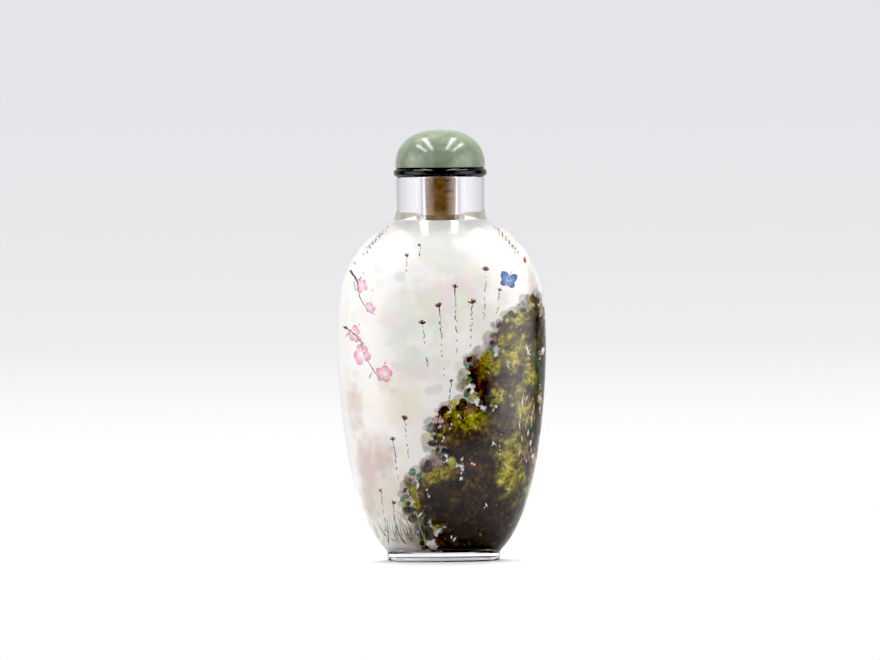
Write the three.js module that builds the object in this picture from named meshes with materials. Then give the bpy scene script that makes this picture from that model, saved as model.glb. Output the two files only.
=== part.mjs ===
// An inside-painted snuff bottle: a flattened bottle of clear glass with a round neck and an oval ring
// foot, closed by a stopper made of a cork, a black collar and a domed cap of green stone.
// Millimetres, +Z up. The origin is on the table, under the middle of the foot. The broad faces look
// along -Y and +Y.
import * as THREE from "three";

// Glass body, outside
const BODY_WIDTH = 41.7;
const BODY_DEPTH = 26;
const WIDEST_HEIGHT = 43;
const SHOULDER_POWER = 3;
const DEPTH_SHOULDER_POWER = 4.5;
const BELLY_POWER = 1.7;
const BELLY_ROOT = 3.8;

// Oval ring foot, with a shallow hollow ground into its underside
const FOOT_WIDTH = 22.6;
const FOOT_HEIGHT = 1.8;
const FOOT_RING_WIDTH = 2;
const FOOT_HOLLOW = 0.9;
const FOOT_EDGE = 0.25;

// Round neck, flared where it meets the shoulder, with a narrow bore for the cork
const NECK_BASE_HEIGHT = 68.1;
const NECK_BASE_RADIUS = 9.4;
const NECK_RADIUS = 8.9;
const NECK_FLARE_HEIGHT = 1.75;
const LIP_HEIGHT = 76.7;
const LIP_EDGE = 0.45;
const BORE_RADIUS = 3.3;

// Cavity inside the body
const SIDE_WALL = 2.4;
const FACE_WALL = 2.2;
const CAVITY_TOP = 67;
const CAVITY_FLOOR = 2.8;
const FLOOR_CORNER = 2.5;
const CORNER_WALL = 2.75;

// Stopper: a tapered cork under a collar under a domed cap
const CORK_TOP_RADIUS = 3.2;
const CORK_END_RADIUS = 2.9;
const CORK_END_HEIGHT = 66;
const CORK_EDGE = 0.35;
const COLLAR_RADIUS = 9.35;
const COLLAR_THICKNESS = 1.8;
const CAP_RADIUS = 8.97;
const CAP_HEIGHT = 7.7;
const CAP_UNDERCUT = 0.45;
const CAP_POWER = 2.3;

// Facets round the axis and along the curves
const BODY_SIDES = 56;
const CAP_SIDES = 48;
const CORK_SIDES = 28;
const SHOULDER_STEPS = 11;
const BELLY_STEPS = 11;
const EDGE_STEPS = 3;
const DOME_STEPS = 10;

const HALF_WIDTH = BODY_WIDTH / 2;
const HALF_DEPTH = BODY_DEPTH / 2;
const BELLY_DROP = WIDEST_HEIGHT - FOOT_HEIGHT;
const COLLAR_HEIGHT = LIP_HEIGHT;
const CAP_BASE = COLLAR_HEIGHT + COLLAR_THICKNESS;

// One level of a piece: an oval of this half width and half depth at this height.
function level(halfWidth, height, halfDepth = halfWidth) {
  return { halfWidth, halfDepth, height };
}

// Share of the full half size that is left at a distance from the widest level. A higher root keeps the
// curve full for longer and turns it in faster at its end.
function bulge(distance, reach, power, root = 2) {
  return Math.max(0, 1 - (distance / reach) ** power) ** (1 / root);
}

// How far the curve has to reach so that it has narrowed to `end` at `distance`.
function reachOf(full, end, distance, power, root = 2) {
  return distance / (1 - (end / full) ** root) ** (1 / power);
}

// Numbers from 0 to 1 that crowd towards 1, where the curves turn fastest.
function easedSteps(count) {
  return Array.from({ length: count + 1 }, (_, i) => Math.sin((i / count) * (Math.PI / 2)));
}

// A quarter round from one corner point to the next, both left out of the list.
function quarterRound(from, to, turn, steps = EDGE_STEPS) {
  return Array.from({ length: steps - 1 }, (_, i) => {
    const angle = ((i + 1) / steps) * (Math.PI / 2);
    const across = turn === "out" ? Math.sin(angle) : 1 - Math.cos(angle);
    const along = turn === "out" ? 1 - Math.cos(angle) : Math.sin(angle);
    return level(
      from.halfWidth + (to.halfWidth - from.halfWidth) * across,
      from.height + (to.height - from.height) * along,
      from.halfDepth + (to.halfDepth - from.halfDepth) * across,
    );
  });
}

// Revolves the levels about the vertical axis and squeezes each one to its own depth.
function ovalLathe(levels, sides) {
  const profile = levels.map((l) => new THREE.Vector2(l.halfWidth, l.height));
  const geometry = new THREE.LatheGeometry(profile, sides);
  const position = geometry.getAttribute("position");
  for (let i = 0; i < position.count; i += 1) {
    const { halfWidth, halfDepth } = levels[i % levels.length];
    if (halfWidth > 0) position.setZ(i, (position.getZ(i) * halfDepth) / halfWidth);
  }
  return geometry.rotateX(Math.PI / 2);
}

function piece(name, geometry, colour, roughness, options = {}) {
  const material = new THREE.MeshStandardMaterial({ color: colour, roughness, metalness: 0, ...options });
  const mesh = new THREE.Mesh(geometry, material);
  mesh.name = name;
  return mesh;
}

// Outside of the glass, from the middle of the underside to the lip.
function outsideLevels() {
  const footHalf = FOOT_WIDTH / 2;
  const flatness = HALF_DEPTH / HALF_WIDTH;
  const oval = (halfWidth, height) => level(halfWidth, height, halfWidth * flatness);
  const bellyReach = reachOf(HALF_WIDTH, footHalf, BELLY_DROP, BELLY_POWER, BELLY_ROOT);
  const shoulderRise = NECK_BASE_HEIGHT - WIDEST_HEIGHT;
  const widthReach = reachOf(HALF_WIDTH, NECK_BASE_RADIUS, shoulderRise, SHOULDER_POWER);
  const depthReach = reachOf(HALF_DEPTH, NECK_BASE_RADIUS, shoulderRise, DEPTH_SHOULDER_POWER);

  const ringInner = level(footHalf - FOOT_RING_WIDTH, 0, footHalf * flatness - FOOT_RING_WIDTH);
  const foot = [
    level(0, FOOT_HOLLOW),
    { ...ringInner, height: FOOT_HOLLOW },
    ringInner,
    level(footHalf - FOOT_EDGE, 0, footHalf * flatness - FOOT_EDGE),
    oval(footHalf, FOOT_EDGE),
  ];
  const belly = easedSteps(BELLY_STEPS)
    .reverse()
    .map((step) => {
      const drop = BELLY_DROP * step;
      return oval(HALF_WIDTH * bulge(drop, bellyReach, BELLY_POWER, BELLY_ROOT), WIDEST_HEIGHT - drop);
    });
  const shoulder = easedSteps(SHOULDER_STEPS)
    .slice(1)
    .map((step) => {
      const rise = shoulderRise * step;
      return level(
        HALF_WIDTH * bulge(rise, widthReach, SHOULDER_POWER),
        WIDEST_HEIGHT + rise,
        HALF_DEPTH * bulge(rise, depthReach, DEPTH_SHOULDER_POWER),
      );
    });
  const flareTop = level(NECK_RADIUS, NECK_BASE_HEIGHT + NECK_FLARE_HEIGHT);
  const lipSide = level(NECK_RADIUS, LIP_HEIGHT - LIP_EDGE);
  const lipTop = level(NECK_RADIUS - LIP_EDGE, LIP_HEIGHT);
  const neck = [flareTop, lipSide, ...quarterRound(lipSide, lipTop, "in"), lipTop];
  return [...foot, ...belly, ...shoulder, ...neck];
}

// Bore and cavity, from the mouth down to the middle of the floor.
function insideLevels() {
  const halfWidth = HALF_WIDTH - SIDE_WALL;
  const halfDepth = HALF_DEPTH - FACE_WALL;
  const rise = CAVITY_TOP - WIDEST_HEIGHT;
  const widthReach = reachOf(halfWidth, BORE_RADIUS, rise, SHOULDER_POWER);
  const depthReach = reachOf(halfDepth, BORE_RADIUS, rise, DEPTH_SHOULDER_POWER);
  const shoulder = easedSteps(SHOULDER_STEPS)
    .reverse()
    .map((step) => level(
      halfWidth * bulge(rise * step, widthReach, SHOULDER_POWER),
      WIDEST_HEIGHT + rise * step,
      halfDepth * bulge(rise * step, depthReach, DEPTH_SHOULDER_POWER),
    ));

  const footHalf = FOOT_WIDTH / 2;
  const drop = WIDEST_HEIGHT - CAVITY_FLOOR - FLOOR_CORNER;
  const outsideReach = reachOf(HALF_WIDTH, footHalf, BELLY_DROP, BELLY_POWER, BELLY_ROOT);
  const cornerHalf = HALF_WIDTH * bulge(drop, outsideReach, BELLY_POWER, BELLY_ROOT) - CORNER_WALL;
  const bellyReach = reachOf(halfWidth, cornerHalf, drop, BELLY_POWER, BELLY_ROOT);
  const belly = easedSteps(BELLY_STEPS)
    .slice(1)
    .map((step) => {
      const share = bulge(drop * step, bellyReach, BELLY_POWER, BELLY_ROOT);
      return level(halfWidth * share, WIDEST_HEIGHT - drop * step, halfDepth * share);
    });
  const corner = belly.at(-1);
  const floorEdge = level(corner.halfWidth - FLOOR_CORNER, CAVITY_FLOOR, corner.halfDepth - FLOOR_CORNER);
  return [
    level(BORE_RADIUS, LIP_HEIGHT),
    ...shoulder,
    ...belly,
    ...quarterRound(corner, floorEdge, "in"),
    floorEdge,
    level(0, CAVITY_FLOOR),
  ];
}

// Clear glass bottle in one piece with its foot and neck
function glassBottle() {
  const geometry = ovalLathe([...outsideLevels(), ...insideLevels()], BODY_SIDES);
  return piece("glass_bottle", geometry, 0xeef2ee, 0.02, { transparent: true, opacity: 0.35 });
}

// Tapered cork that fills the bore and hangs just clear of the cavity's roof
function cork() {
  const endEdge = level(CORK_END_RADIUS - CORK_EDGE, CORK_END_HEIGHT);
  const endSide = level(CORK_END_RADIUS, CORK_END_HEIGHT + CORK_EDGE);
  const levels = [
    level(0, CORK_END_HEIGHT),
    endEdge,
    ...quarterRound(endEdge, endSide, "out"),
    endSide,
    level(CORK_TOP_RADIUS, COLLAR_HEIGHT),
    level(0, COLLAR_HEIGHT),
  ];
  return piece("cork", ovalLathe(levels, CORK_SIDES), 0x9c6b3a, 0.9);
}

// Black disc with a half-round rim that rests on the lip
function collar() {
  const rimRadius = COLLAR_THICKNESS / 2;
  const middle = COLLAR_HEIGHT + rimRadius;
  const steps = 2 * EDGE_STEPS;
  const rim = Array.from({ length: steps + 1 }, (_, i) => {
    const angle = (i / steps - 0.5) * Math.PI;
    return level(COLLAR_RADIUS - rimRadius * (1 - Math.cos(angle)), middle + rimRadius * Math.sin(angle));
  });
  const levels = [level(0, COLLAR_HEIGHT), ...rim, level(0, COLLAR_HEIGHT + COLLAR_THICKNESS)];
  return piece("collar", ovalLathe(levels, CAP_SIDES), 0x101012, 0.15);
}

// Domed stone cap, a little undercut at its base
function stoneCap() {
  const domeRise = CAP_HEIGHT - CAP_UNDERCUT;
  const equator = CAP_BASE + CAP_UNDERCUT;
  const base = level(CAP_RADIUS - CAP_UNDERCUT / 2, CAP_BASE);
  const widest = level(CAP_RADIUS, equator);
  const dome = Array.from({ length: DOME_STEPS }, (_, i) => {
    const angle = (i / DOME_STEPS) * (Math.PI / 2);
    const power = 2 / CAP_POWER;
    return level(CAP_RADIUS * Math.cos(angle) ** power, equator + domeRise * Math.sin(angle) ** power);
  });
  const levels = [
    level(0, CAP_BASE),
    base,
    ...quarterRound(base, widest, "out"),
    ...dome,
    level(0, CAP_BASE + CAP_HEIGHT),
  ];
  return piece("stone_cap", ovalLathe(levels, CAP_SIDES), 0x9fb097, 0.2);
}

const bottle = new THREE.Group();
bottle.add(glassBottle());
const stopper = new THREE.Group();
stopper.add(cork(), collar(), stoneCap());
bottle.add(stopper);

export default bottle;
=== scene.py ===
# An inside-painted snuff bottle: clear glass with a painting on its inner wall, closed by a stopper of
# cork, black collar and green stone cap. It stands on white paper in a pale studio.
import math

import bpy
import numpy as np
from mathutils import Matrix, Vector


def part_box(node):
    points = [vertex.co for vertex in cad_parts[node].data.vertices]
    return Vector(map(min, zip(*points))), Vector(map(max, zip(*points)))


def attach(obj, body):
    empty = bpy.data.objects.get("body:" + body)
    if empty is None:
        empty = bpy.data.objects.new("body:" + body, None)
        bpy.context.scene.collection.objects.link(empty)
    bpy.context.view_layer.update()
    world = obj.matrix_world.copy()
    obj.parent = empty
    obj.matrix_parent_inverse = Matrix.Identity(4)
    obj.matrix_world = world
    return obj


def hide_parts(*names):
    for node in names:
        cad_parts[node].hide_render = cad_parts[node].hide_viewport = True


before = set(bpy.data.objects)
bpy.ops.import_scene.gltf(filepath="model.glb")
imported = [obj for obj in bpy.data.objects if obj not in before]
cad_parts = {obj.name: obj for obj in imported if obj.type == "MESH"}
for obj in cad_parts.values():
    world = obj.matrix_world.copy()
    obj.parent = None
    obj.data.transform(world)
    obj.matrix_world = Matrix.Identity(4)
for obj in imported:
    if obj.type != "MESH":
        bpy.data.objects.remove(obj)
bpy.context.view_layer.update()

# Glass bottle
# Clear glass, blown and ground in one piece with its oval foot ring and its round neck, and polished
# outside. The cavity is ground out through the bore, so the walls stay thick.
MM = 0.001
WIDEST_HEIGHT = 43.0
SHOULDER_POWER = 3.0
DEPTH_SHOULDER_POWER = 4.5
BELLY_POWER = 1.7
BELLY_ROOT = 3.8
FOOT_HALF_WIDTH = 11.3
FOOT_HEIGHT = 1.8
FOOT_RING_WIDTH = 2.0
FOOT_HOLLOW = 0.9
NECK_BASE_HEIGHT = 68.1
NECK_BASE_RADIUS = 9.4
NECK_RADIUS = 8.9
NECK_FLARE_HEIGHT = 1.75
BORE_RADIUS = 3.3
SIDE_WALL = 2.4
FACE_WALL = 2.2
CAVITY_TOP = 67.0
CAVITY_FLOOR = 2.8
FLOOR_CORNER = 2.5
CORNER_WALL = 2.75
FOOT_LOWER_EDGE = 0.7
FOOT_UPPER_EDGE = 0.6
FOOT_INNER_EDGE = 0.15
FOOT_HOLLOW_EDGE = 0.35
NECK_BASE_EDGE = 0.15
NECK_EDGE = 0.3
LIP_EDGE = 0.45
BORE_EDGE = 0.25
GLASS_COLUMNS = 192
CURVE_ROWS = 120
CURVE_SAMPLES = 4000
EDGE_ROWS = 6
LARGEST_EDGE = 0.45

glass_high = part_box("glass_bottle")[1] / MM
HALF_WIDTH = glass_high.x
HALF_DEPTH = glass_high.y
LIP_HEIGHT = glass_high.z
FLATNESS = HALF_DEPTH / HALF_WIDTH


def linear(hex_colour, alpha=1.0):
    """Linear RGBA of an sRGB hex colour such as "9fb097"."""
    parts = [int(hex_colour[i:i + 2], 16) / 255 for i in (0, 2, 4)]
    return [p / 12.92 if p <= 0.04045 else ((p + 0.055) / 1.055) ** 2.4 for p in parts] + [alpha]


def add_node(tree, kind, inputs=(), output=0, stops=(), **settings):
    """Adds a shader node and returns an output. inputs sets its sockets to values or to other outputs."""
    node = tree.nodes.new("ShaderNode" + kind)
    for name, value in settings.items():
        setattr(node, name, value)
    for name, value in dict(inputs).items():
        if isinstance(value, bpy.types.NodeSocket):
            tree.links.new(value, node.inputs[name])
        else:
            node.inputs[name].default_value = value
    for i, (place, colour) in enumerate(stops):
        elements = node.color_ramp.elements
        stop = elements[i] if i < 2 else elements.new(place)
        stop.position = place
        stop.color = linear(colour)
    return node.outputs[output]


def new_material(name):
    """A new node material, its node tree and its Principled shader."""
    material = bpy.data.materials.new(name)
    material.use_nodes = True
    return material, material.node_tree, material.node_tree.nodes["Principled BSDF"]


def bulge(distance, reach, power, root=2.0):
    """Share of the full half size that is left at a distance from the widest level."""
    return np.clip(1 - (distance / reach) ** power, 0, 1) ** (1 / root)


def reach_of(full, end, distance, power, root=2.0):
    """How far the curve has to reach so that it has narrowed to end at distance."""
    return distance / (1 - (end / full) ** root) ** (1 / power)


def rounded(stations):
    """Rows (half width, half depth, height) along stations, whose fourth number rounds the corner.

    A rounded corner takes up LARGEST_EDGE of the straight stretch beside it at most.
    """
    rows = []
    for i, station in enumerate(stations):
        corner = np.array(station[:3], float)
        radius = station[3] if len(station) > 3 else 0
        if not radius:
            rows.append(corner)
            continue
        before = np.array(stations[i - 1][:3], float) - corner
        after = np.array(stations[i + 1][:3], float) - corner
        start = corner + before * min(LARGEST_EDGE, radius / np.linalg.norm(before))
        end = corner + after * min(LARGEST_EDGE, radius / np.linalg.norm(after))
        for t in np.linspace(0, 1, EDGE_ROWS):
            rows.append((1 - t) ** 2 * start + 2 * t * (1 - t) * corner + t ** 2 * end)
    return rows


def oval_piece(name, rows, columns):
    """A closed mesh of oval rings, whose first and last rows have no width and are its poles."""
    angles = np.arange(columns) * 2 * math.pi / columns
    vertices, rings = [], []
    for half_width, half_depth, height in rows:
        start = len(vertices)
        if half_width < 1e-6:
            vertices.append((0, 0, height * MM))
            rings.append([start] * columns)
            continue
        across = half_width * np.sin(angles) * MM
        deep = -half_depth * np.cos(angles) * MM
        vertices.extend(zip(across, deep, [height * MM] * columns))
        rings.append(list(range(start, start + columns)))
    faces = []
    for low, high in zip(rings, rings[1:]):
        for i in range(columns):
            j = (i + 1) % columns
            corners = (low[i], low[j], high[j], high[i])
            faces.append(tuple(dict.fromkeys(corners)))
    return mesh_piece(name, vertices, faces)


def mesh_piece(name, vertices, faces, sharp_angle=35):
    """A smooth-shaded object of this mesh, with the edges past sharp_angle kept crisp."""
    mesh = bpy.data.meshes.new(name)
    mesh.from_pydata([tuple(v) for v in vertices], [], faces)
    mesh.update()
    mesh.shade_smooth()
    mesh.set_sharp_from_angle(angle=math.radians(sharp_angle))
    piece = bpy.data.objects.new(name, mesh)
    bpy.context.scene.collection.objects.link(piece)
    return piece


def dress(piece, material, slot, *nodes):
    """Gives a piece its material and lets it stand for CAD nodes; slot is not used."""
    piece.data.materials.append(material)
    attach(piece, "root")
    if nodes:
        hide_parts(*nodes)


BELLY_DROP = WIDEST_HEIGHT - FOOT_HEIGHT
SHOULDER_RISE = NECK_BASE_HEIGHT - WIDEST_HEIGHT
BELLY_REACH = reach_of(HALF_WIDTH, FOOT_HALF_WIDTH, BELLY_DROP, BELLY_POWER, BELLY_ROOT)


def outside_half(height):
    """Half width and half depth of the outside of the body at these heights."""
    rise = np.maximum(height - WIDEST_HEIGHT, 0)
    low = bulge(np.maximum(WIDEST_HEIGHT - height, 0), BELLY_REACH, BELLY_POWER, BELLY_ROOT)
    halves = []
    for full, power in ((HALF_WIDTH, SHOULDER_POWER), (HALF_DEPTH, DEPTH_SHOULDER_POWER)):
        reach = reach_of(full, NECK_BASE_RADIUS, SHOULDER_RISE, power)
        halves.append(full * low * bulge(rise, reach, power))
    return halves


CAVITY_HALF_WIDTH = HALF_WIDTH - SIDE_WALL
CAVITY_HALF_DEPTH = HALF_DEPTH - FACE_WALL
CAVITY_RISE = CAVITY_TOP - WIDEST_HEIGHT
CORNER_HEIGHT = CAVITY_FLOOR + FLOOR_CORNER
CAVITY_DROP = WIDEST_HEIGHT - CORNER_HEIGHT
CORNER_HALF_WIDTH = float(outside_half(CORNER_HEIGHT)[0]) - CORNER_WALL
CAVITY_REACH = reach_of(CAVITY_HALF_WIDTH, CORNER_HALF_WIDTH, CAVITY_DROP, BELLY_POWER, BELLY_ROOT)


def cavity_half(height):
    """Half width and half depth of the cavity at these heights."""
    height = np.asarray(height, float)
    rise = np.maximum(height - WIDEST_HEIGHT, 0)
    drop = np.clip(WIDEST_HEIGHT - height, 0, CAVITY_DROP)
    low = bulge(drop, CAVITY_REACH, BELLY_POWER, BELLY_ROOT)
    corner = np.clip((CORNER_HEIGHT - height) / FLOOR_CORNER, 0, 1)
    inset = FLOOR_CORNER * (1 - np.sqrt(1 - corner ** 2))
    halves = []
    for full, power in ((CAVITY_HALF_WIDTH, SHOULDER_POWER), (CAVITY_HALF_DEPTH, DEPTH_SHOULDER_POWER)):
        reach = reach_of(full, BORE_RADIUS, CAVITY_RISE, power)
        halves.append(full * low * bulge(rise, reach, power) - inset)
    return halves


def even_heights(half_of, low, high, count):
    """Heights from low to high that are evenly spaced along the curve that half_of draws."""
    fine = np.linspace(low, high, CURVE_SAMPLES)
    steps = np.hypot(np.diff(fine), np.diff(half_of(fine)[0]))
    along = np.concatenate([[0], np.cumsum(steps)])
    return np.interp(np.linspace(0, along[-1], count), along, fine)


def bottle_rows():
    """Rows of the whole bottle: the foot, up the outside, over the lip and down to the cavity's floor."""
    foot_depth = FOOT_HALF_WIDTH * FLATNESS
    ring = (FOOT_HALF_WIDTH - FOOT_RING_WIDTH, foot_depth - FOOT_RING_WIDTH)
    stations = [
        (0, 0, FOOT_HOLLOW),
        (*ring, FOOT_HOLLOW, FOOT_HOLLOW_EDGE),
        (*ring, 0, FOOT_INNER_EDGE),
        (FOOT_HALF_WIDTH, foot_depth, 0, FOOT_LOWER_EDGE),
        (FOOT_HALF_WIDTH, foot_depth, FOOT_HEIGHT, FOOT_UPPER_EDGE),
    ]
    body = even_heights(outside_half, FOOT_HEIGHT, NECK_BASE_HEIGHT, CURVE_ROWS)
    stations += [(*half, z) for *half, z in zip(*outside_half(body), body)][1:-1]
    stations += [
        (NECK_BASE_RADIUS, NECK_BASE_RADIUS, NECK_BASE_HEIGHT, NECK_BASE_EDGE),
        (NECK_RADIUS, NECK_RADIUS, NECK_BASE_HEIGHT + NECK_FLARE_HEIGHT, NECK_EDGE),
        (NECK_RADIUS, NECK_RADIUS, LIP_HEIGHT, LIP_EDGE),
        (BORE_RADIUS, BORE_RADIUS, LIP_HEIGHT, BORE_EDGE),
        (BORE_RADIUS, BORE_RADIUS, CAVITY_TOP, NECK_EDGE),
    ]
    inside = even_heights(cavity_half, CAVITY_FLOOR, CAVITY_TOP, CURVE_ROWS)[::-1]
    stations += [(*half, z) for *half, z in zip(*cavity_half(inside), inside)][1:]
    stations.append((0, 0, CAVITY_FLOOR))
    return rounded(stations)


# Clear polished glass: no colour of its own, bent light, bright rims and reflections with soft edges.
clear_glass, _, glass_shader = new_material("clear polished glass")
glass_shader.inputs["Base Color"].default_value = linear("ffffff")
glass_shader.inputs["Roughness"].default_value = 0.1
glass_shader.inputs["IOR"].default_value = 1.5
glass_shader.inputs["Transmission Weight"].default_value = 1.0

glass_bottle = oval_piece("bottle_glass", bottle_rows(), GLASS_COLUMNS)
dress(glass_bottle, clear_glass, "clear_glass", "glass_bottle")

# Painted wall
# A film of water paint, brushed through the bore on to the ground inner wall and in full contact with
# the glass. Wet washes run into each other: a dark mossy slope on the right, pale mist on the left.
FRONT_COLUMNS = 288
BACK_COLUMNS = 96
FILM_ROWS = 196
INNER_ROWS = 40
BOTTOM_ROWS = 8
FILM_BOTTOM = 3.05
FILM_TOP = 66.85
FILM_IN_GLASS = 0.03
FILM_IN_CAVITY = -0.04
OUTER_FACE_ON_MAP = 0.85
DAB_ACROSS = (-20, 40)
DAB_HEIGHTS = (4, 60)
FAR_OUTSIDE = -9.0
TURN_SAMPLES = 2000
hand = np.random.default_rng(12)

# How far it is round the wall at its widest, in mm, at each angle from the middle of the front.
turn = np.linspace(0, math.pi, TURN_SAMPLES)
turn_speed = np.hypot(CAVITY_HALF_WIDTH * np.cos(turn), CAVITY_HALF_DEPTH * np.sin(turn))
turn_length = np.concatenate([[0], np.cumsum((turn_speed[1:] + turn_speed[:-1]) / 2 * np.diff(turn))])


def wall_points(angle, height, lift):
    """Points of the wall, in mm, at these angles from the front, lifted off it into the glass."""
    step = 0.02
    half_width, half_depth = cavity_half(height)
    slope = (cavity_half(height + step)[0] - cavity_half(height - step)[0]) / (2 * step)
    out = lift / np.hypot(1, slope)
    return np.stack([
        (half_width + out) * np.sin(angle),
        -(half_depth + out) * np.cos(angle),
        height - out * slope,
    ], -1)


def lobes(across, height, shapes):
    """1 in the middle of the nearest oval lobe (across, height, half width, half height), 0 on its edge."""
    half_round = turn_length[-1] * cavity_half(height)[0] / CAVITY_HALF_WIDTH
    best = np.full(np.broadcast(across, height).shape, FAR_OUTSIDE)
    for middle, level, wide, tall in shapes:
        gap = np.abs(across - np.clip(middle, -half_round, half_round))
        gap = np.minimum(gap, 2 * half_round - gap)
        best = np.maximum(best, 1 - np.hypot(gap / wide, (height - level) / tall))
    return best


def dabs_along(shapes, low, high, count, smallest, largest):
    """Small lobes scattered where the field of shapes lies between low and high."""
    spots = []
    while len(spots) < count:
        x, z = hand.uniform(*DAB_ACROSS), hand.uniform(*DAB_HEIGHTS)
        if low < lobes(x, z, shapes) < high:
            size = hand.uniform(smallest, largest)
            spots.append((x, z, size, size * hand.uniform(0.7, 1.1)))
    return spots


# The front half has more columns than the back, and the face towards the cavity has fewer rows. Both
# faces run on over the bottom of the cavity.
outer_heights = even_heights(cavity_half, FILM_BOTTOM, FILM_TOP, FILM_ROWS)
inner_heights = even_heights(cavity_half, FILM_BOTTOM, FILM_TOP, INNER_ROWS)[::-1]
film_angles = np.concatenate([
    np.linspace(-0.5, 0.5, FRONT_COLUMNS, endpoint=False) * math.pi,
    np.linspace(0.5, 1.5, BACK_COLUMNS, endpoint=False) * math.pi,
])
film_angles[film_angles > math.pi] -= 2 * math.pi
bottom_heights = [CAVITY_FLOOR] * BOTTOM_ROWS
film_heights = np.concatenate([bottom_heights, outer_heights, inner_heights, bottom_heights])
angle_grid, height_grid = np.meshgrid(film_angles, film_heights)
outer_count, inner_count = BOTTOM_ROWS + FILM_ROWS, INNER_ROWS + BOTTOM_ROWS
film_lifts = np.repeat([FILM_IN_GLASS, FILM_IN_CAVITY], [outer_count, inner_count])
film_points = wall_points(angle_grid, height_grid, film_lifts[:, None])
bottom_width, bottom_depth = cavity_half(CAVITY_FLOOR)
for row, share in enumerate(np.linspace(0.03, 1, BOTTOM_ROWS)):
    for ring in (row, -1 - row):
        film_points[ring, :, 0] = share * bottom_width * np.sin(film_angles)
        film_points[ring, :, 1] = -share * bottom_depth * np.cos(film_angles)
        film_points[ring, :, 2] = CAVITY_FLOOR - film_lifts[ring]
film_index = np.arange(angle_grid.size).reshape(angle_grid.shape)
next_row = np.roll(film_index, -1, 0)
film_faces = np.stack([
    film_index, np.roll(film_index, -1, 1), np.roll(next_row, -1, 1), next_row,
], -1).reshape(-1, 4)
film_corners = film_points.reshape(-1, 3) * MM
painted_wall = mesh_piece("painted_wall", film_corners, film_faces.tolist(), sharp_angle=60)

# The wall rolled out flat, with most of the map for its outer face.
map_up = np.concatenate([
    np.linspace(0, OUTER_FACE_ON_MAP, outer_count),
    np.linspace(OUTER_FACE_ON_MAP, 1, inner_count + 1)[1:],
    [1.0],
])
map_round = np.linspace(0, 1, FRONT_COLUMNS + BACK_COLUMNS + 1)
map_low, map_left = np.meshgrid(map_up[:-1], map_round[:-1], indexing="ij")
map_high, map_right = np.meshgrid(map_up[1:], map_round[1:], indexing="ij")
rolled_out = np.stack([map_left, map_low, map_right, map_low, map_right, map_high, map_left, map_high], -1)
painted_wall.data.uv_layers.new(name="OFBake").uv.foreach_set("vector", rolled_out.ravel())

# Water paint on ground glass: matt, soft blots with scalloped, granulated edges.
# The edges wander by blots of 3 mm, dabs of 1.9 mm and ragged granules of 0.8 mm, and the tints by 1.5 mm.
BLOT_SIZE = 3.0
DAB_SIZE = 1.9
RAGGED_SIZE = 0.8
SOAK_SIZE = 1.5
BLOT_REACH = 0.6
DAB_REACH = -0.4
RAGGED_REACH = 0.5
SOAK_REACH = 2.4
CLOUDS_APART = 10.0
DARK_CLOUDS = 0.36
LIGHT_CLOUDS = 0.64
LET_THROUGH = 0.12
water_paint, paint, paint_shader = new_material("water paint on ground glass")
place = add_node(paint, "TexCoord", output="Object")
place_mm = add_node(paint, "VectorMath", {0: place, "Scale": 1 / MM}, operation="SCALE")
blot = add_node(paint, "TexNoise", {"Vector": place_mm, "Scale": 1 / BLOT_SIZE, "Detail": 1.0})
dab_edge = add_node(paint, "TexVoronoi", {"Vector": place_mm, "Scale": 1 / DAB_SIZE})
ragged = add_node(paint, "TexNoise",
                  {"Vector": place_mm, "Scale": 1 / RAGGED_SIZE, "Detail": 3.0, "Roughness": 0.6})
middle_reach = -0.5 * (BLOT_REACH + DAB_REACH + RAGGED_REACH)
wander = add_node(paint, "Math", {0: blot, 1: BLOT_REACH, 2: middle_reach}, operation="MULTIPLY_ADD")
wander = add_node(paint, "Math", {0: dab_edge, 1: DAB_REACH, 2: wander}, operation="MULTIPLY_ADD")
wander = add_node(paint, "Math", {0: ragged, 1: RAGGED_REACH, 2: wander}, operation="MULTIPLY_ADD")
soak = add_node(paint, "TexNoise", {"Vector": place_mm, "Scale": 1 / SOAK_SIZE, "Detail": 2.0},
                output="Color")
soaked_mm = add_node(paint, "VectorMath", {0: soak, 1: (SOAK_REACH,) * 3, 2: place_mm},
                     operation="MULTIPLY_ADD")
local_scale = cavity_half(height_grid)[0] / CAVITY_HALF_WIDTH
across_grid = np.sign(angle_grid) * np.interp(np.abs(angle_grid), turn, turn_length) * local_scale


def lay_wash(under, name, shapes, colour, soft, strength, raggedness):
    """Lays a colour over the one under it, where its lobes are, with a soft and ragged edge.

    Map Range takes its value, the range it comes from and the range it goes to as inputs 0 to 4.
    """
    field = lobes(across_grid, height_grid, shapes)
    attribute = painted_wall.data.attributes.new(name, "FLOAT", "POINT")
    attribute.data.foreach_set("value", field.ravel().astype(np.float32))
    edge = add_node(paint, "Attribute", output="Fac", attribute_name=name)
    edge = add_node(paint, "Math", {0: wander, 1: raggedness, 2: edge}, operation="MULTIPLY_ADD")
    share = add_node(paint, "MapRange", {0: edge, 1: soft[0], 2: soft[1], 4: strength},
                     interpolation_type="SMOOTHSTEP")
    return add_node(paint, "Mix", {0: share, 6: under, 7: colour}, output=2, data_type="RGBA")


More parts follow.
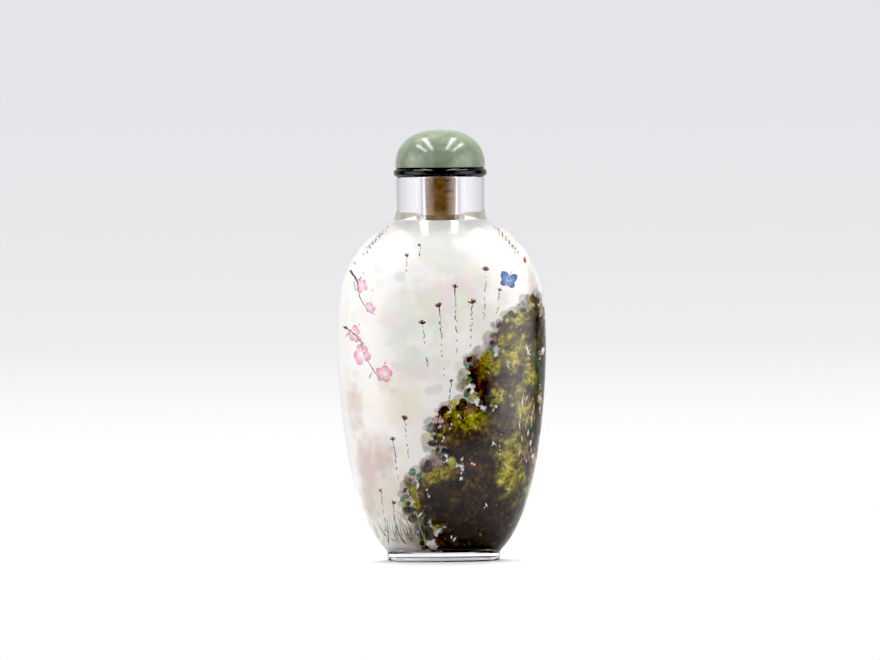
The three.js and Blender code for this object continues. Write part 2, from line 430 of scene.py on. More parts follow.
# The broad areas, as oval lobes (across, height, half width, half height) in mm.
SLOPE = [
    (11, 5, 15, 8), (13, 15, 12, 10), (1.5, 13, 8.5, 7.5), (15, 27, 9.5, 10), (5.5, 25, 7.5, 7),
    (17, 37, 8, 7), (10.5, 36.5, 6, 6), (14.5, 44.5, 4.5, 4.5), (20, 46, 5, 6), (26, 37, 6, 7),
    (29, 27, 8, 8), (29, 17, 10, 9), (25, 8, 11, 8),
]
GLOW = [
    (14, 20, 5, 7), (14.5, 42, 4.5, 5), (5, 28.5, 4.5, 3), (-1.5, 17.5, 3.5, 2.2), (16.5, 31, 4, 4.5),
    (9.5, 39.5, 3.4, 2.6), (22, 14, 3.5, 6), (16, 49, 3, 2.5), (18.5, 37, 2.5, 3), (11, 33, 2.5, 2.5),
    (28, 29, 4, 5), (27, 11, 4, 4),
]
MIST = [
    (-8, 48, 8, 9), (-1, 51, 8, 9), (5, 55, 7, 6), (-5.5, 40, 8, 6), (1, 60, 8, 5), (9, 48, 6, 6),
    (34, 50, 12, 12), (-36, 26, 12, 13), (44, 36, 10, 10),
]

# Soft washes: their lobes, their colour, how far its hue strays, the size of its blots, how soft the edge
# is, how strong and how ragged it is.
SOFT_WASHES = {
    # The first wash stands for bare frosted glass under the neck; its grey-green is painted shade of the dim
    # cavity that shows through it.
    "frost and shade": ([(-1, 64.2, 6.5, 5), (0, 66.9, 16, 2.2)], "e8ebe4", 0.06, 6.0, (0.0, 0.6), 0.85, 0.6),
    # The next wash is painted shade: a grey-beige over the top of the back shoulder, darker as if that part
    # lay in less light. The neck base shows it through the glass.
    "shade": (
        [(32, 63.5, 11, 5), (20, 66.5, 5, 2.5)],
        "d0cabb", 0.05, 5.0, (0.0, 0.6), 1.0, 0.7,
    ),
    "cream": (
        [(-9, 32, 9, 8), (-12, 14, 9, 9), (-14, 22, 6, 9), (-5, 8, 8, 6), (36, 30, 12, 16), (-38, 40, 9, 12)],
        "f5ebdb", 0.12, 5.0, (0.0, 0.9), 0.8, 0.7,
    ),
    "mist": (MIST, "edebe2", 0.32, 3.4, (0.0, 0.7), 0.78, 0.9),
    "mist dabs": (dabs_along(MIST, -0.3, 0.1, 45, 0.9, 2.0), "d8dcd0", 0.4, 2.6, (0.0, 0.3), 0.42, 0.3),
    "dusk": (
        [(-16, 17, 4, 12), (-18, 32, 3.5, 8), (-12, 21, 4, 5), (-7, 5, 7, 3), (20, 52, 3, 6)],
        "d0bbb4", 0.35, 3.0, (0.0, 0.8), 0.6, 1.0,
    ),
    "fringe": (dabs_along(SLOPE, -0.16, 0.05, 160, 0.7, 1.7), "a6a18c", 0.7, 2.0, (0.0, 0.3), 0.6, 0.35),
}
painted = add_node(paint, "ValToRGB", {0: blot}, stops=[(0.3, "fefdfa"), (0.7, "fbf8f0")])
for number, (name, wash) in enumerate(SOFT_WASHES.items()):
    shapes, colour, stray, size, soft, strength, raggedness = wash
    hue = add_node(paint, "TexNoise", {
        "Vector": soaked_mm, "W": CLOUDS_APART * number, "Scale": 1 / size, "Detail": 1.0,
    }, output="Color", noise_dimensions="4D")
    middle = [part - stray / 2 for part in linear(colour)[:3]]
    tint = add_node(paint, "VectorMath", {0: hue, 1: (stray,) * 3, 2: middle}, operation="MULTIPLY_ADD")
    painted = lay_wash(painted, name, shapes, tint, soft, strength, raggedness)

# Deep washes: their lobes, their colours from dark to light, the size of their clouds, how soft the edge
# is, how strong and how ragged it is.
DEEP_WASHES = {
    "slope": (
        SLOPE, ["0d0908", "1a100d", "301d15", "473119", "655721", "8a7d30"], 2.6, (0.0, 0.13), 1.0, 0.9,
    ),
    "depth": (
        [(9, 6, 16, 8), (2, 11, 7, 5), (7, 21, 8, 4), (22, 12, 9, 10), (12, 33, 5, 3)],
        ["0f0a09", "1a120f", "281d15", "3b2e1c"], 2.2, (0.0, 0.8), 0.85, 1.0,
    ),
    "moss": (
        [(20.5, 38, 3.5, 7), (19.5, 28, 3, 5), (12, 42, 2.6, 2.6), (4, 30, 3, 2.4), (27, 16, 4, 5)],
        ["1c2a1e", "2c4a34", "4d7047", "7d9059"], 1.8, (0.0, 0.9), 0.7, 1.2,
    ),
    "glow": (
        GLOW, ["1f170c", "4f4415", "918620", "cec034", "efe68c"], 1.8, (-0.05, 0.7), 0.95, 1.6,
    ),
    "teal leaves": (
        dabs_along(SLOPE, -0.14, 0.1, 80, 0.5, 1.3),
        ["12281f", "1f4a38", "3f7858", "8fae8c"], 1.3, (0.0, 0.3), 0.85, 0.9,
    ),
    "lemon leaves": (
        dabs_along(SLOPE, -0.14, 0.2, 95, 0.5, 1.4),
        ["3a3410", "7d7618", "bdb42c", "e8e27a"], 1.3, (0.0, 0.4), 0.85, 0.9,
    ),
    "lilac leaves": (
        dabs_along(SLOPE, -0.2, 0.04, 66, 0.6, 1.4),
        ["5a4a50", "877680", "b5a6ac", "dcd2d4"], 1.3, (0.0, 0.3), 0.55, 0.7,
    ),
    "shadow leaves": (
        dabs_along(SLOPE, -0.1, 0.12, 80, 0.5, 1.4),
        ["14100d", "241c14", "3b3120", "5c5433"], 1.3, (0.0, 0.3), 0.95, 0.9,
    ),
    "rust": (
        dabs_along(SLOPE, -0.05, 0.3, 46, 0.6, 1.7),
        ["2a1a14", "5f2d1b", "8f4c31", "b98565"], 1.2, (0.0, 0.7), 0.55, 0.9,
    ),
    "wine": (
        dabs_along(SLOPE, -0.08, 0.3, 46, 0.6, 1.8),
        ["22141a", "45232f", "6f3f51", "a98793"], 1.3, (0.0, 0.7), 0.5, 0.9,
    ),
}
for number, (name, wash) in enumerate(DEEP_WASHES.items()):
    shapes, colours, size, soft, strength, raggedness = wash
    tone = add_node(paint, "TexNoise", {
        "Vector": place_mm, "W": CLOUDS_APART * number, "Scale": 1 / size,
        "Detail": 8.0, "Roughness": 0.76, "Distortion": 0.4,
    }, noise_dimensions="4D")
    stops = list(zip(np.linspace(DARK_CLOUDS, LIGHT_CLOUDS, len(colours)), colours))
    colour = add_node(paint, "ValToRGB", {0: tone}, stops=stops)
    painted = lay_wash(painted, name, shapes, colour, soft, strength, raggedness)

paint.links.new(painted, paint_shader.inputs["Base Color"])
paint_shader.inputs["Roughness"].default_value = 0.9
paint_shader.inputs["Specular IOR Level"].default_value = 0.0
through = add_node(paint, "BsdfTranslucent", {"Color": painted})
film = add_node(paint, "MixShader", {0: LET_THROUGH, 1: paint_shader.outputs[0], 2: through})
paint.links.new(film, paint.nodes["Material Output"].inputs["Surface"])
dress(painted_wall, water_paint, "painting")

# Brush strokes
# Fine strokes of ink and body colour, laid on the glass before the washes and so in front of them: reeds,
# blossom sprays, grass, a butterfly, leaf dabs, bare nicks and columns of marks that say nothing.
STROKE_LIFT = 0.05
STROKE_BODY = 0.025
STROKE_STEP = 0.5
BEAD_SPACING = 0.42
GRASS_BLADES = 30
LEAF_TOUCHES = 2100
GLOW_TOUCHES = 310
NICKS = 34
PALE_STREAKS = 30
MARK_COLUMNS = 2
MARKS_IN_COLUMN = 7
TOUCHES_IN_MARK = 3
FIRST_MARK = (11.2, 64.7)
MARK_STEP = (0.72, -0.6)
COLUMN_STEP = (0.9, -0.35)
RED_PATCH = (18.2, 59.2)
stroke_points, stroke_faces, stroke_colours = [], [], []


def on_wall(across, height, lift):
    """Points of the wall, in mm: across is measured round it from the middle of the front."""
    reach = np.abs(across) * CAVITY_HALF_WIDTH / cavity_half(height)[0]
    angle = np.sign(across) * np.interp(reach, turn_length, turn)
    return wall_points(angle, height, lift)


def stroke(path, half_widths, colours, edge=0.85):
    """One closed stroke along points (across, height), pointed at both ends, with darker wet edges."""
    path = np.asarray(path, float)
    count = len(path)
    along = np.gradient(path, axis=0)
    side = np.stack([-along[:, 1], along[:, 0]], -1) / np.hypot(*along.T)[:, None]
    spread = side * np.asarray(half_widths, float)[:, None]
    rows = np.stack([path + spread, path - spread, path], 1)
    lift = np.full((count, 3), STROKE_LIFT)
    lift[:, 2] += STROKE_BODY
    points = on_wall(rows[..., 0], rows[..., 1], lift)
    shades = np.array([linear(colour) for colour in colours])
    along_share = np.linspace(0, len(colours) - 1, count)
    tint = np.stack([np.interp(along_share, np.arange(len(colours)), band) for band in shades.T], -1)
    tints = np.repeat(tint[:, None], 3, 1)
    tints[:, :2, :3] *= edge
    first = sum(map(len, stroke_points))
    stroke_points.append(np.concatenate([points[0, 2:], points[1:-1].reshape(-1, 3), points[-1, 2:]]))
    stroke_colours.append(np.concatenate([tints[0, 2:], tints[1:-1].reshape(-1, 4), tints[-1, 2:]]))
    low = first + 1
    stroke_faces.extend([(first, low + 2, low), (first, low + 1, low + 2), (first, low, low + 1)])
    for low in range(first + 1, first + 3 * count - 8, 3):
        stroke_faces.append((low, low + 2, low + 5, low + 3))
        stroke_faces.append((low + 2, low + 1, low + 4, low + 5))
        stroke_faces.append((low + 1, low, low + 3, low + 4))
    high = first + 3 * count - 8
    last = high + 3
    stroke_faces.extend([(last, high, high + 2), (last, high + 2, high + 1), (last, high + 1, high)])


def bend(start, end, sag, count=0):
    """Points of a curve from start to end that bows sideways by sag."""
    start, end = np.array(start, float), np.array(end, float)
    run = end - start
    count = count or max(5, int(np.hypot(*run) / STROKE_STEP))
    share = np.linspace(0, 1, count)[:, None]
    return start + run * share + np.array([-run[1], run[0]]) / np.hypot(*run) * 4 * sag * share * (1 - share)


def dab(across, height, length, width, tilt, colours, edge=0.85, fullness=0.6):
    """A single touch of the brush, as long and wide as given and tilted from upright, in radians."""
    reach = np.array([math.sin(tilt), math.cos(tilt)]) * length / 2
    middle = np.array([across, height])
    share = np.linspace(0, 1, 6)
    half_widths = width / 2 * np.sin(math.pi * share) ** fullness
    stroke(bend(middle - reach, middle + reach, 0, 6), half_widths, colours, edge)


def reed(across, foot, top, lean, head):
    """A stem of broken ink beads that leans over, with a seed head of short brown strokes."""
    path = bend((across, foot), (across + lean, top), 0.05 * lean, int((top - foot) / BEAD_SPACING))
    for share, (x, z) in zip(np.linspace(0, 1, len(path)), path):
        if hand.random() < 0.75 * (0.25 + share):
            ink = ["34302d", "1d1a19"] if hand.random() < 0.8 else ["77726b", "55504a"]
            long, wide = hand.uniform(0.3, 0.75), hand.uniform(0.1, 0.24)
            dab(x + hand.normal(0, 0.09), z, long, wide, hand.normal(0, 0.3), ink)
    x, z = path[-1]
    for _ in range(int(9 * head)):
        tilt = hand.uniform(-1.2, 1.2)
        brown = ["4a3426", "9a7452"] if hand.random() < 0.6 else ["2b211c", "6d5442"]
        dab(x + 0.45 * head * math.sin(tilt), z + 0.5 * head * math.cos(tilt),
            1.1 * head, 0.32 * head, tilt, brown)


def blossom(across, height, size, turned):
    """Five round petals, pink at the rim and pale at the heart, with a few stamens."""
    for petal in range(5):
        angle = turned + (petal + hand.normal(0, 0.12)) * 2 * math.pi / 5
        out = np.array([math.sin(angle), math.cos(angle)])
        length = size * hand.uniform(0.85, 1.15)
        path = bend((across, height) + 0.12 * size * out, (across, height) + length * out, 0.06 * size, 9)
        share = np.linspace(0, 1, 9)
        stroke(path, 0.44 * size * np.sin(math.pi * share ** 1.25) ** 0.7,
               ["fbeef0", "f6d0da", "eca6be", "d2719a"], 0.9)
        dab(*((across, height) + 0.75 * length * out), 0.45 * size, 0.07 * size, angle, ["e09ab4", "c05a84"])
    for stamen in range(6):
        angle = turned + stamen * 1.05
        out = np.array([math.sin(angle), math.cos(angle)])
        dab(*((across, height) + 0.25 * size * out), 0.36 * size, 0.06, angle, ["a0566c", "6f2c42"])
        dab(*((across, height) + 0.44 * size * out), 0.17, 0.14, angle, ["c79a3a", "8a5a1e"])


def spray(start, middle, end, blossoms, leaves):
    """A thin crooked twig with side twigs, blossoms (share along it, side step, size) and leaf dabs."""
    path = np.concatenate([bend(start, middle, 0.5), bend(middle, end, -0.7)[1:]])
    path += hand.normal(0, 0.05, path.shape)
    stroke(path, np.linspace(0.24, 0.05, len(path)) * hand.uniform(0.6, 1.3, len(path)),
           ["3a2b25", "6b5648", "332722"])
    for share, step, size in blossoms:
        x, z = path[int(share * (len(path) - 1))]
        tip = np.array([x + step, z + 0.8 * abs(step)])
        twig = bend((x, z), tip, 0.15 * step, 8)
        stroke(twig, np.linspace(0.12, 0.05, 8), ["4a382f", "7d6757"])
        blossom(*tip, size, hand.uniform(0, 6.3))
        dab(*(tip + hand.normal(0, 0.9, 2) + (0, 1.3 * size)), 0.5, 0.42, 0.2, ["f0bccb", "d27f9f"])
    for _ in range(leaves):
        x, z = path[hand.integers(len(path))] + hand.normal(0, 0.9, 2)
        green = ["8ba075", "c3cda9"] if hand.random() < 0.7 else ["a3936a", "d6cca6"]
        dab(x, z, hand.uniform(0.9, 1.7), hand.uniform(0.25, 0.5), hand.uniform(-1.5, 1.5), green, 0.95)


for across, foot, top, lean, head in (
    (-2.6, 38, 47.5, -1.2, 0.9), (0.4, 36, 50.8, -0.8, 1.0), (3.0, 39, 54.6, -0.4, 0.8),
    (5.6, 41, 51.5, 0.3, 1.0), (8.2, 43, 57.8, 0.5, 0.9), (10.6, 45, 53.8, 0.9, 0.7),
    (-4.4, 58, 62.6, 0.5, 0.6), (-6.9, 56.5, 60.6, 0.4, 0.7), (-6.6, 19.5, 28.5, -0.8, 1.0),
    (-8.9, 17, 24.5, -0.9, 0.8), (-11.6, 4.5, 14.2, -1.1, 0.7), (-9.2, 4.2, 11.8, -0.8, 0.8),
    (-7.1, 4.4, 16.3, 0.6, 0.7), (-1.2, 23, 29, 0.3, 0.7), (1.2, 30.5, 36, 0.5, 0.6),
    (31, 38, 50, 1.2, 1.0), (35, 34, 54, -1.0, 1.1), (-30, 12, 24, 1.0, 1.0), (-36, 20, 31, 0.8, 0.9),
):
    reed(across, foot, top, lean, head)

spray((-22, 47), (-16.5, 44), (-12, 36.5), [(0.35, -1.0, 1.7), (0.68, -1.5, 2.2), (0.98, 0.9, 1.8)], 9)
spray((-21, 57.5), (-17.5, 55.5), (-14.5, 50), [(0.55, 0.9, 1.4), (0.98, 0.5, 1.2)], 5)
spray((-30, 46), (-36, 49), (-42, 56), [(0.35, 1.2, 1.9), (0.7, -1.3, 2.0), (0.95, 1.0, 1.4)], 8)

for _ in range(GRASS_BLADES):
    x = hand.uniform(-15, -3)
    z = 3.6 + hand.uniform(0, 2.0)
    blade = bend((x, z), (x + hand.normal(-0.8, 1.2), z + hand.uniform(2.0, 6.0)), hand.normal(0, 0.5))
    green = ["9aa08c", "c4c8b4"] if hand.random() < 0.65 else ["5b5f54", "8f937f"]
    stroke(blade, np.linspace(0.11, 0.03, len(blade)), green)

# A butterfly over the white ground, with blue wings, dark rims and fine feelers.
WING_X, WING_Z = 13.4, 55.6
WING_TURN = 0.25
for side in (-1, 1):
    for length, width, tilt, blues in (
        (2.5, 1.7, 0.85, ["9fbfe6", "3f74bf", "1f3f86"]), (1.8, 1.4, 1.95, ["8fb4e0", "3b69b4", "24355f"]),
    ):
        tilt = side * tilt + WING_TURN
        out = np.array([math.sin(tilt), math.cos(tilt)]) * length / 2
        dab(WING_X + out[0], WING_Z + out[1], length, width, tilt, blues, 0.55)
        dab(WING_X + 1.35 * out[0], WING_Z + 1.35 * out[1], 0.5 * length, 0.14, tilt, ["1b2544", "10162b"])
    feeler = bend((WING_X + 0.2, WING_Z + 0.8), (WING_X + 0.35 + 0.8 * side, WING_Z + 2.1), 0.15 * side, 6)
    stroke(feeler, [0.05] * 6, ["2b2624", "2b2624"])
dab(WING_X + 0.05, WING_Z - 0.1, 2.1, 0.34, WING_TURN, ["2a2220", "5d4433", "231c1a"])

# Leaf dabs and specks scattered over the slope and along its edge.
LEAF_TONES = [["1a120f", "2b1f18"], ["32271a", "4a3e20"], ["5c5223", "8a7f35"], ["28331f", "475a33"]]
for _ in range(LEAF_TOUCHES):
    x, z = hand.uniform(-12, 40), hand.uniform(3.4, 54)
    inside = float(lobes(x, z, SLOPE))
    tilt = hand.uniform(-1.6, 1.6)
    if inside > 0.1 and hand.random() < 0.4:
        dab(x, z, hand.uniform(0.3, 1.0), hand.uniform(0.12, 0.35), tilt, LEAF_TONES[hand.integers(4)], 0.9)
    elif abs(inside) < 0.1:
        dab(x, z, hand.uniform(0.12, 0.35), hand.uniform(0.1, 0.24), tilt, ["2a211d", "3c302a"])

for x, z, _, _ in dabs_along(GLOW, 0.05, 1.0, GLOW_TOUCHES, 1.0, 1.0):
    tones = [["4b4118", "7d7228"], ["a89d3b", "d8cf72"], ["332a12", "5e5420"]][hand.integers(3)]
    dab(x, z, hand.uniform(0.25, 0.8), hand.uniform(0.1, 0.3), hand.uniform(-1.6, 1.6), tones, 0.9)

# Bare nicks in the dark washes, each of a few short touches, and pale streaks that run down the slope.
for x, z, _, _ in dabs_along(SLOPE, 0.06, 0.45, NICKS, 1.0, 1.0):
    for _ in range(hand.integers(2, 4)):
        long, wide = hand.uniform(0.3, 1.1), hand.uniform(0.12, 0.38)
        dab(x, z, long, wide, hand.normal(0.5, 0.5), ["f5efe6", "e9e0d2"], 0.97)
        x += hand.normal(0, 0.35)
        z += hand.normal(0, 0.45)
for _ in range(PALE_STREAKS):
    x, z = hand.uniform(15.5, 20.5), hand.uniform(20, 33)
    pale = ["f7eeea", "ecdcdc"] if hand.random() < 0.6 else ["c9a3ae", "9a6176"]
    dab(x, z, hand.uniform(0.8, 2.4), hand.uniform(0.15, 0.4), hand.normal(0.1, 0.12), pale, 0.95)

# Columns of marks at both shoulders, with a plain red patch under those on the right.
for side, ink in ((-1, ["3a4350", "1f2630"]), (1, ["8f2f28", "5a1e1c"])):
    for column in range(MARK_COLUMNS):
        for row in range(MARKS_IN_COLUMN):
            x = side * (FIRST_MARK[0] + MARK_STEP[0] * row + COLUMN_STEP[0] * column)
            z = FIRST_MARK[1] + MARK_STEP[1] * row + COLUMN_STEP[1] * column
            for _ in range(TOUCHES_IN_MARK):
                tilt = hand.uniform(-1.6, 1.6)
                long = hand.uniform(0.3, 0.6)
                dab(x + hand.normal(0, 0.18), z + hand.normal(0, 0.16), long, 0.13, tilt, ink)
dab(*RED_PATCH, 1.1, 1.0, 0.2, ["a3362b", "b5453a"], 0.95, 0.25)

# Ink and body colour: matt, opaque touches, a little uneven where the pigment settled.
PIGMENT_GRAIN = 0.3
brush_strokes = mesh_piece("brush_strokes", np.concatenate(stroke_points) * MM, stroke_faces)
stroke_tint = brush_strokes.data.color_attributes.new("tint", "FLOAT_COLOR", "POINT")
stroke_tint.data.foreach_set("color", np.concatenate(stroke_colours).ravel())
body_colour, ink_tree, ink_shader = new_material("ink and body colour")
ink_place = add_node(ink_tree, "TexCoord", output="Object")
grain_scale = 1 / (PIGMENT_GRAIN * MM)
settled = add_node(ink_tree, "TexNoise", {"Vector": ink_place, "Scale": grain_scale, "Detail": 2.0})
settled = add_node(ink_tree, "MapRange", {0: settled, 1: 0.3, 2: 0.7, 3: 0.8, 4: 1.1})
tint = add_node(ink_tree, "Attribute", output="Color", attribute_name="tint")
tint = add_node(ink_tree, "VectorMath", {0: tint, "Scale": settled}, operation="SCALE")
ink_tree.links.new(tint, ink_shader.inputs["Base Color"])
ink_shader.inputs["Roughness"].default_value = 0.9
ink_shader.inputs["Specular IOR Level"].default_value = 0.0
dress(brush_strokes, body_colour, "painting")

# Cork
# A plug cut from natural cork bark and tapered to fill the bore, where it holds the stopper by friction.
# The pores of the bark show as short dark slits.
CORK_COLUMNS = 96
CORK_ROWS = 70
CORK_END_ROWS = 4
CORK_END_EDGE = 0.35
CORK_TOP_RADIUS = 3.2
CORK_END_RADIUS = 2.9
CORK_CELLS = 0.9
SLIT_LENGTH = 2.4
SLIT_HEIGHT = 0.75
cork_low, cork_high = (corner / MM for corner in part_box("cork"))
cork_rows = [(0, 0, cork_low.z), (CORK_END_RADIUS, CORK_END_RADIUS, cork_low.z, CORK_END_EDGE)]
for share in np.linspace(0, 1, CORK_ROWS)[CORK_END_ROWS:]:
    radius = CORK_END_RADIUS + (CORK_TOP_RADIUS - CORK_END_RADIUS) * share
    cork_rows.append((radius, radius, cork_low.z + (cork_high.z - cork_low.z) * share))
cork_rows.append((0, 0, cork_high.z))

# Natural cork: dull tan, cloudy with cells, crossed by short dark slits that lie level.
natural_cork, cork_tree, cork_shader = new_material("natural cork")
cork_place = add_node(cork_tree, "TexCoord", output="Object")
cells = add_node(cork_tree, "TexNoise", {
    "Vector": cork_place, "Scale": 1 / (CORK_CELLS * MM), "Detail": 4.0, "Roughness": 0.65,
})
bark = add_node(cork_tree, "ValToRGB", {0: cells}, stops=[(0.3, "5c3a16"), (0.5, "74501f"), (0.7, "8c672f")])
level_place = add_node(cork_tree, "VectorMath", {
    0: cork_place, 1: (1 / (SLIT_LENGTH * MM), 1 / (SLIT_LENGTH * MM), 1 / (SLIT_HEIGHT * MM)),
}, operation="MULTIPLY")
slits = add_node(cork_tree, "TexNoise", {"Vector": level_place, "Scale": 1.0, "Detail": 2.0})
slit_share = add_node(cork_tree, "MapRange", {0: slits, 1: 0.6, 2: 0.645, 4: 0.9})
bark = add_node(cork_tree, "Mix", {0: slit_share, 6: bark, 7: linear("241104")}, output=2, data_type="RGBA")
cork_tree.links.new(bark, cork_shader.inputs["Base Color"])
cork_shader.inputs["Roughness"].default_value = 0.9
cork = oval_piece("cork_plug", rounded(cork_rows), CORK_COLUMNS)
dress(cork, natural_cork, "cork", "cork")

# Collar
# A thin disc of black plastic, turned with a half-round rim and polished. It is glued between the cork
# and the cap and rests on the lip of the neck.
COLLAR_COLUMNS = 160
RIM_ROWS = 17
collar_low, collar_high = (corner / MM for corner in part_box("collar"))
rim_radius = (collar_high.z - collar_low.z) / 2
collar_middle = (collar_high.z + collar_low.z) / 2
collar_rows = [(0, 0, collar_low.z)]
for angle in np.linspace(-math.pi / 2, math.pi / 2, RIM_ROWS):
    radius = collar_high.x - rim_radius * (1 - math.cos(angle))
    collar_rows.append((radius, radius, collar_middle + rim_radius * math.sin(angle)))
collar_rows.append((0, 0, collar_high.z))

# Polished black plastic: deep black with sharp, small highlights on the rim.
black_plastic, _, collar_shader = new_material("polished black plastic")
collar_shader.inputs["Base Color"].default_value = linear("070707")
collar_shader.inputs["Roughness"].default_value = 0.1
collar_shader.inputs["Specular IOR Level"].default_value = 0.3
collar = oval_piece("black_collar", collar_rows, COLLAR_COLUMNS)
dress(collar, black_plastic, "black_collar", "collar")

# Stone cap
# A dome of grey-green aventurine quartz with cloudy patches and dark flecks, ground, polished and glued
# on the collar. Its lower edge is rounded in a little.
CAP_COLUMNS = 160
UNDERCUT_ROWS = 9
DOME_ROWS = 60
CAP_UNDERCUT = 0.45
CAP_POWER = 2.3
CLOUD_SIZE = 2.4
FLECK_SPACING = 1.1
cap_low, cap_high = (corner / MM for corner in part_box("stone_cap"))
cap_radius = cap_high.x
equator = cap_low.z + CAP_UNDERCUT
cap_rows = [(0, 0, cap_low.z)]
for angle in np.linspace(0, math.pi / 2, UNDERCUT_ROWS):
    radius = cap_radius - CAP_UNDERCUT / 2 * (1 - math.sin(angle))
    cap_rows.append((radius, radius, equator - CAP_UNDERCUT * math.cos(angle)))
for angle in np.linspace(0, math.pi / 2, DOME_ROWS)[1:-1]:
    radius = cap_radius * math.cos(angle) ** (2 / CAP_POWER)
    cap_rows.append((radius, radius, equator + (cap_high.z - equator) * math.sin(angle) ** (2 / CAP_POWER)))
cap_rows.append((0, 0, cap_high.z))

# Polished aventurine: a cloudy grey-green with fine darker flecks under a glassy polish.
aventurine, cap_tree, cap_shader = new_material("polished aventurine")
cap_place = add_node(cap_tree, "TexCoord", output="Object")
clouds = add_node(cap_tree, "TexNoise", {
    "Vector": cap_place, "Scale": 1 / (CLOUD_SIZE * MM), "Detail": 6.0, "Roughness": 0.68,
})
stone = add_node(cap_tree, "ValToRGB", {0: clouds}, stops=[(0.3, "545e4d"), (0.5, "616b58"), (0.7, "747c67")])
flecks = add_node(cap_tree, "TexVoronoi", {
    "Vector": cap_place, "Scale": 1 / (FLECK_SPACING * MM), "Randomness": 1.0,
})
fleck_share = add_node(cap_tree, "MapRange", {0: flecks, 1: 0.2, 2: 0.1, 4: 0.45})
stone = add_node(cap_tree, "Mix", {0: fleck_share, 6: stone, 7: linear("4f5f4b")}, output=2, data_type="RGBA")
cap_tree.links.new(stone, cap_shader.inputs["Base Color"])
cap_shader.inputs["Roughness"].default_value = 0.17
stone_cap = oval_piece("aventurine_cap", cap_rows, CAP_COLUMNS)
dress(stone_cap, aventurine, "green_stone", "stone_cap")

# Floor
# A round sheet of matt white paper under the bottle. It isn't a part of the object, and its rim fades
# into the pale backdrop, so that only the shade close to the foot shows.
FLOOR_RADIUS = 0.25
FLOOR_SIDES = 96
FADE_START = 0.08
FADE_END = 0.2
white_paper, paper_tree, paper_shader = new_material("white paper")
paper_shader.inputs["Base Color"].default_value = linear("b0b0b0")
paper_shader.inputs["Roughness"].default_value = 0.9
paper_shader.inputs["Specular IOR Level"].default_value = 0.0
paper_place = add_node(paper_tree, "TexCoord", output="Object")
paper_distance = add_node(paper_tree, "VectorMath", {0: paper_place}, output="Value", operation="LENGTH")
paper_share = add_node(paper_tree, "MapRange",
                       {0: paper_distance, 1: FADE_START, 2: FADE_END, 3: 1.0, 4: 0.0})
paper_tree.links.new(paper_share, paper_shader.inputs["Alpha"])
floor_angles = np.arange(FLOOR_SIDES) * 2 * math.pi / FLOOR_SIDES
floor_points = [(FLOOR_RADIUS * math.cos(a), FLOOR_RADIUS * math.sin(a), 0) for a in floor_angles]
floor = mesh_piece("floor", floor_points, [tuple(range(FLOOR_SIDES))])
floor.data.materials.append(white_paper)

# Light
# A pale studio that is brightest at the front corners, two pairs of long light bars overhead that run
# from front to back, as (across, front end, back end, width) in metres, and a soft lamp high at the back.
# Each fade is the stretch of a direction's own share, from -1 to 1, over which one level turns to the next.
BACKDROP = "e6e5ea"
BACKDROP_LEVELS = [
    (-0.036, "ffffff"), (-0.030, "f9f9f9"), (-0.022, "efeff1"), (-0.010, "eaeaec"), (0.02, "e6e5ea"),
]
FRONT_LIGHT = 7.4
FRONT_FADE = (-0.2, 0.3)
BEHIND_CAMERA = 0.04
CAMERA_FADE = (-0.88, -0.38)
FAR_SIDES = 0.6
SIDE_FADE = (0.75, 0.95)
OVERHEAD = 1.0
OVERHEAD_FADE = (0.2, 0.55)
BAR_HEIGHT = 0.88
BAR_RADIANCE = 16.0
LIGHT_BARS = [
    (-0.31, -0.67, 0.38, 0.10), (-0.66, -0.67, 0.12, 0.12),
    (0.27, -0.67, 0.36, 0.10), (0.60, -0.67, 0.20, 0.12),
]
LAMP_PLACE = (0.0, 0.55, 0.9)
LAMP_SIZE = (1.6, 0.4)
LAMP_POWER = 24.0
world = bpy.data.worlds.new("studio")
bpy.context.scene.world = world
world.use_nodes = True
sky = world.node_tree
direction = add_node(sky, "TexCoord", output="Generated")
toward_back = add_node(sky, "SeparateXYZ", {0: direction}, output="Y")
upward = add_node(sky, "SeparateXYZ", {0: direction}, output="Z")
near, far = FRONT_FADE
level = add_node(sky, "MapRange", {0: toward_back, 1: near, 2: far, 3: FRONT_LIGHT, 4: 1.0})
near, far = CAMERA_FADE
corner = add_node(sky, "MapRange", {0: toward_back, 1: near, 2: far, 3: BEHIND_CAMERA, 4: 1.0})
level = add_node(sky, "Math", {0: level, 1: corner}, operation="MULTIPLY")
sideways = add_node(sky, "SeparateXYZ", {0: direction}, output="X")
sideways = add_node(sky, "Math", {0: sideways}, operation="ABSOLUTE")
near, far = SIDE_FADE
sides = add_node(sky, "MapRange", {0: sideways, 1: near, 2: far, 3: 1.0, 4: FAR_SIDES})
level = add_node(sky, "Math", {0: level, 1: sides}, operation="MULTIPLY")
near, far = OVERHEAD_FADE
high_share = add_node(sky, "MapRange", {0: upward, 1: near, 2: far})
level = add_node(sky, "Mix", {0: high_share, 2: level, 3: OVERHEAD})
room = add_node(sky, "Background", {"Color": linear(BACKDROP), "Strength": level})
low, high = BACKDROP_LEVELS[0][0], BACKDROP_LEVELS[-1][0]
backdrop_level = add_node(sky, "MapRange", {0: upward, 1: low, 2: high})
backdrop_stops = [((place - low) / (high - low), colour) for place, colour in BACKDROP_LEVELS]
backdrop_colour = add_node(sky, "ValToRGB", {0: backdrop_level}, stops=backdrop_stops)
backdrop = add_node(sky, "Background", {"Color": backdrop_colour, "Strength": 1.0})
seen = add_node(sky, "LightPath", output="Is Camera Ray")
both = add_node(sky, "MixShader", {0: seen, 1: room, 2: backdrop})
sky.links.new(both, sky.nodes["World Output"].inputs["Surface"])

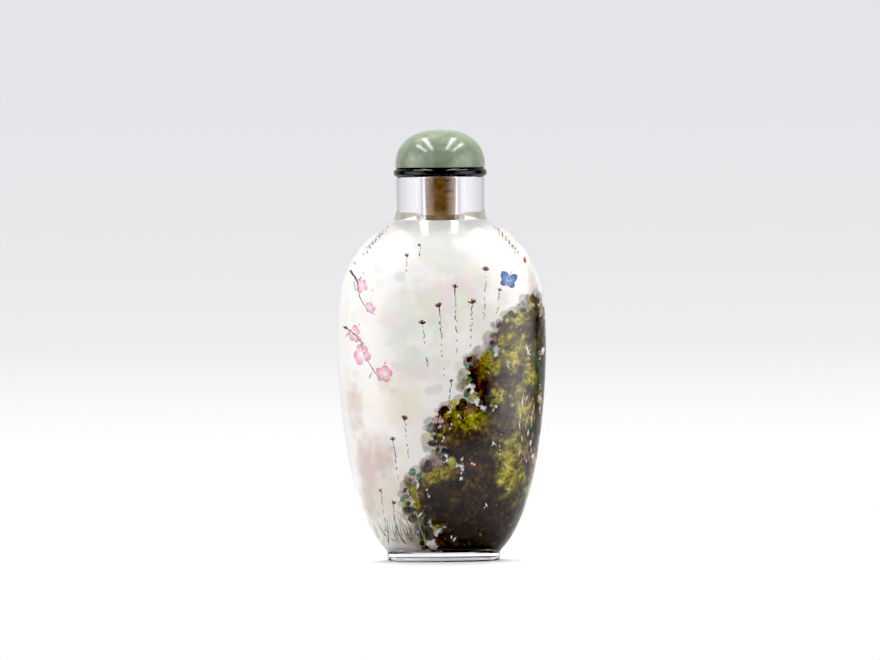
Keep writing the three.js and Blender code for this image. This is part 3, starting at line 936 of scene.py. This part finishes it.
for number, (across, front, back, width) in enumerate(LIGHT_BARS):
    bar_data = bpy.data.lights.new(f"light_bar_{number}", "AREA")
    bar_data.shape = "RECTANGLE"
    bar_data.size = width
    bar_data.size_y = back - front
    bar_data.energy = BAR_RADIANCE * math.pi * width * (back - front)
    bar = bpy.data.objects.new(f"light_bar_{number}", bar_data)
    bpy.context.scene.collection.objects.link(bar)
    bar.location = (across, (front + back) / 2, BAR_HEIGHT)
    bar.visible_camera = False

lamp_data = bpy.data.lights.new("back_lamp", "AREA")
lamp_data.shape = "RECTANGLE"
lamp_data.size, lamp_data.size_y = LAMP_SIZE
lamp_data.energy = LAMP_POWER
back_lamp = bpy.data.objects.new("back_lamp", lamp_data)
bpy.context.scene.collection.objects.link(back_lamp)
back_lamp.location = LAMP_PLACE
back_lamp.rotation_euler = (-Vector(LAMP_PLACE)).to_track_quat("-Z", "Y").to_euler()
for ray in ("camera", "glossy", "transmission"):
    setattr(back_lamp, "visible_" + ray, False)

# Camera
# Almost level with the neck, about 1.35 m away, with the whole bottle in the middle of the frame. The
# picture's dark tones are set a little deeper, as a camera does.
CAMERA_DISTANCE = 1.35
CAMERA_HEIGHT = 0.073
CAMERA_ACROSS = -0.00034
CAMERA_ROLL = -0.0095
AIM_HEIGHT = 0.0461
MM_PER_PIXEL = 0.2
IMAGE_WIDTH = 880
SENSOR_WIDTH = 36.0
BLACK_LEVEL = 0.034
camera_data = bpy.data.cameras.new("camera")
camera_data.sensor_width = SENSOR_WIDTH
camera_data.lens = SENSOR_WIDTH * CAMERA_DISTANCE / (IMAGE_WIDTH * MM_PER_PIXEL * MM)
camera = bpy.data.objects.new("camera", camera_data)
bpy.context.scene.collection.objects.link(camera)
camera.location = (CAMERA_ACROSS, -CAMERA_DISTANCE, CAMERA_HEIGHT)
aim = Vector((CAMERA_ACROSS, 0, AIM_HEIGHT)) - camera.location
camera.rotation_euler = aim.to_track_quat("-Z", "Y").to_euler()
camera.rotation_euler.rotate_axis("Z", CAMERA_ROLL)
bpy.context.scene.camera = camera
bpy.context.scene.view_settings.view_transform = "Standard"
bpy.context.scene.view_settings.use_curve_mapping = True
bpy.context.scene.view_settings.curve_mapping.black_level = (BLACK_LEVEL,) * 3
bpy.context.scene.view_settings.curve_mapping.update()
